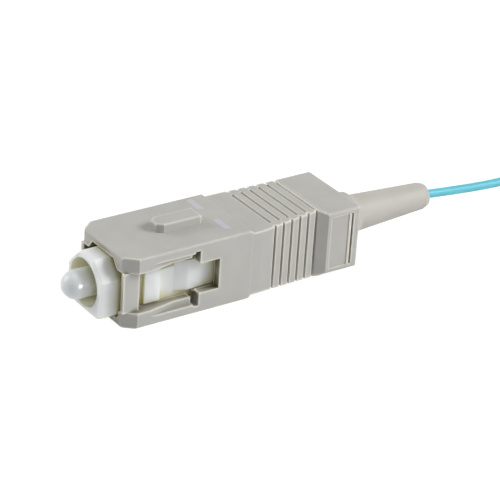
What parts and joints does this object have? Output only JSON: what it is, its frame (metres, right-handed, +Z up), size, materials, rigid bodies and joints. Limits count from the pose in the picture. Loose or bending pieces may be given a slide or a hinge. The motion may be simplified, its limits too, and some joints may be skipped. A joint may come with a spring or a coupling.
{
  "type": "push-pull fibre optic connector",
  "caption": "Square push-pull fibre optic connector with key, spring-loaded ferrule under a dust cap, tapered boot and a thin buffered pigtail.",
  "frame": {"origin": "on the bottom face of the coupling sleeve, under the middle of its front section", "axes": "+X along the optical axis from the ferrule to the boot, +Z up towards the key, +Y to the side"},
  "size_m": [0.0742, 0.0162, 0.0083],
  "materials": {
    "beige_housing": "satin",
    "white_frame": "gloss",
    "zirconia": "polished ceramic",
    "flange_metal": "turned",
    "fibre_glass": "clear",
    "spring_steel": "drawn wire",
    "clear_tube": "clear plastic",
    "beige_boot": "satin",
    "aqua_buffer": "satin",
    "milky_cap": "milky translucent",
    "white_tie": "satin"
  },
  "bodies": {
    "plug": {"plug_frame": "white_frame", "rear_body": "white_frame", "guide_tube": "clear_tube", "boot": "beige_boot", "fibre_buffer": "aqua_buffer", "pigtail_cord": "aqua_buffer", "cord_coil": "aqua_buffer", "coil_tie": "white_tie"},
    "sleeve": {"outer_housing": "beige_housing"},
    "ferrule_set": {"ferrule": "zirconia", "ferrule_flange": "flange_metal", "glass_fibre": "fibre_glass", "spring": "spring_steel"},
    "cap": {"dust_cap": "milky_cap"}
  },
  "joints": [
    {"name": "sleeve_slide", "type": "slide", "parent": "plug", "child": "sleeve", "axis": [1, 0, 0], "range_m": [0, 0.001]},
    {"name": "ferrule_slide", "type": "slide", "parent": "plug", "child": "ferrule_set", "axis": [1, 0, 0], "range_m": [0, 0.001], "stiffness_N_per_m": 1500, "springref_m": -0.0055, "deforming": ["spring"]},
    {"name": "cap_slide", "type": "slide", "parent": "ferrule_set", "child": "cap", "axis": [-1, 0, 0], "range_m": [0, 0.012]}
  ]
}
